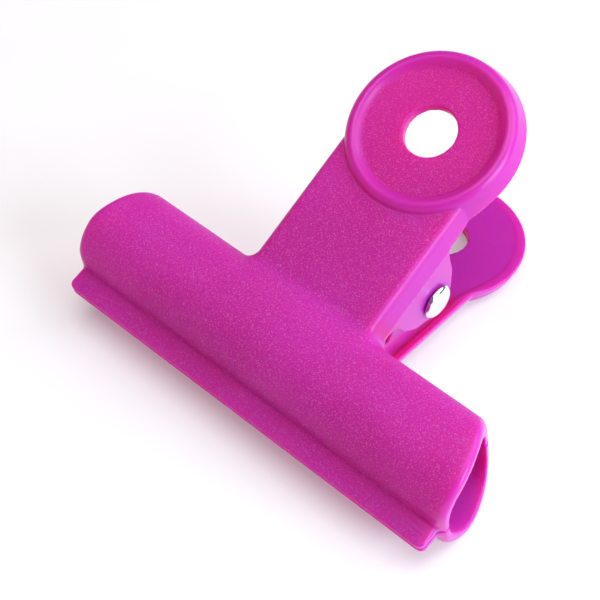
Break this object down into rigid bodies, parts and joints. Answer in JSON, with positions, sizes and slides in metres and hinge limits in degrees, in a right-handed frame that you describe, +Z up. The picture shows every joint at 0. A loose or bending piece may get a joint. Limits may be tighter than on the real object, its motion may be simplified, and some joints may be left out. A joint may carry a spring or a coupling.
{
  "type": "binder clip",
  "caption": "Wide moulded spring clip: rounded full-length jaws with flat lips, and ringed thumb pads with hanging holes, hinged on a domed steel rivet.",
  "frame": {"origin": "centre of the footprint, on the surface that the clip lies on", "axes": "+X along the jaw and the rivet, +Y from the lips to the handles, +Z up, with the clip lying on its back half"},
  "size_m": [0.0768, 0.0682, 0.0405],
  "materials": {
    "clip_plastic": "fine spark-eroded grain outside, smooth on the side walls and inside",
    "plated_steel": "bright plated, domed",
    "spring_wire": "drawn wire"
  },
  "bodies": {
    "back": {"back_half": "clip_plastic", "hinge_pin": "plated_steel", "torsion_spring": "spring_wire"},
    "front": {"front_half": "clip_plastic"}
  },
  "joints": [
    {"name": "squeeze_hinge", "type": "hinge", "parent": "back", "child": "front", "pos_m": [0, -0.0004, 0.01451], "axis": [-1, 0, 0], "range_deg": [0, 58], "stiffness_Nm_per_rad": 0.08, "springref_deg": -28.65, "deforming": ["torsion_spring"]}
  ]
}
